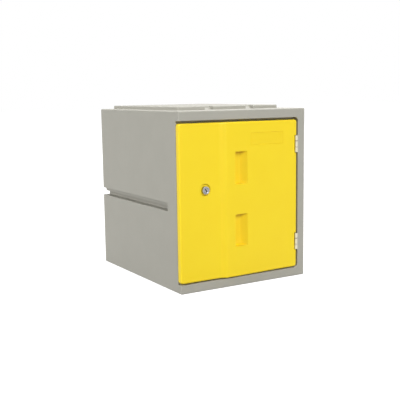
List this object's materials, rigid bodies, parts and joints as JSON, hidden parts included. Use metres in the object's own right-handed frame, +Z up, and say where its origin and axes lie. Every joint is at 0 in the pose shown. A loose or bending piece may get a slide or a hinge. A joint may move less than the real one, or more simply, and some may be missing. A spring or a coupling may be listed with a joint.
{
  "type": "plastic locker",
  "caption": "Stackable moulded plastic storage locker with a right-hinged door, a cam lock, finger pockets, side coupling grooves and a raised plateau on the roof.",
  "frame": {"origin": "on the floor under the middle of the overall box", "axes": "+Z up, -Y out of the front of the door, +X towards the hinge side"},
  "size_m": [0.385, 0.468, 0.461],
  "materials": {
    "body_plastic": "fine moulded texture, warm grey",
    "door_plastic": "smooth satin, bright yellow",
    "hinge_steel": "stainless, lightly polished",
    "screw_steel": "stainless",
    "lock_chrome": "bright plating",
    "lock_steel": "zinc plated",
    "wafer_brass": "plain"
  },
  "bodies": {
    "locker": {"body_moulding": "body_plastic", "keeper": "lock_steel", "keeper_screw_1": "screw_steel", "keeper_screw_2": "screw_steel", "lower_hinge_frame_leaf": "hinge_steel", "upper_hinge_frame_leaf": "hinge_steel", "lower_hinge_pin": "hinge_steel", "upper_hinge_pin": "hinge_steel", "lower_hinge_frame_screw_1": "screw_steel", "lower_hinge_frame_screw_2": "screw_steel", "upper_hinge_frame_screw_1": "screw_steel", "upper_hinge_frame_screw_2": "screw_steel"},
    "door": {"door_front": "door_plastic", "door_back": "door_plastic", "door_cover_screw_1": "screw_steel", "door_cover_screw_2": "screw_steel", "door_cover_screw_3": "screw_steel", "door_cover_screw_4": "screw_steel", "door_cover_screw_5": "screw_steel", "door_cover_screw_6": "screw_steel", "lower_hinge_door_leaf": "hinge_steel", "upper_hinge_door_leaf": "hinge_steel", "lower_hinge_door_screw_1": "screw_steel", "lower_hinge_door_screw_2": "screw_steel", "upper_hinge_door_screw_1": "screw_steel", "upper_hinge_door_screw_2": "screw_steel", "lock_housing": "lock_chrome", "lock_washer": "lock_steel", "lock_nut": "lock_steel"},
    "lock": {"lock_plug": "lock_chrome", "lock_wafer_1": "wafer_brass", "lock_wafer_2": "wafer_brass", "lock_wafer_3": "wafer_brass", "lock_wafer_4": "wafer_brass", "lock_cam": "lock_steel", "lock_cam_screw": "lock_steel"}
  },
  "joints": [
    {"name": "door_swing", "type": "hinge", "parent": "locker", "child": "door", "pos_m": [0.1647, -0.226, 0.227], "axis": [0, 0, 1], "range_deg": [0, 170]},
    {"name": "lock_turn", "type": "hinge", "parent": "door", "child": "lock", "pos_m": [-0.1195, -0.226, 0.256], "axis": [0, 1, 0], "range_deg": [0, 90]}
  ]
}
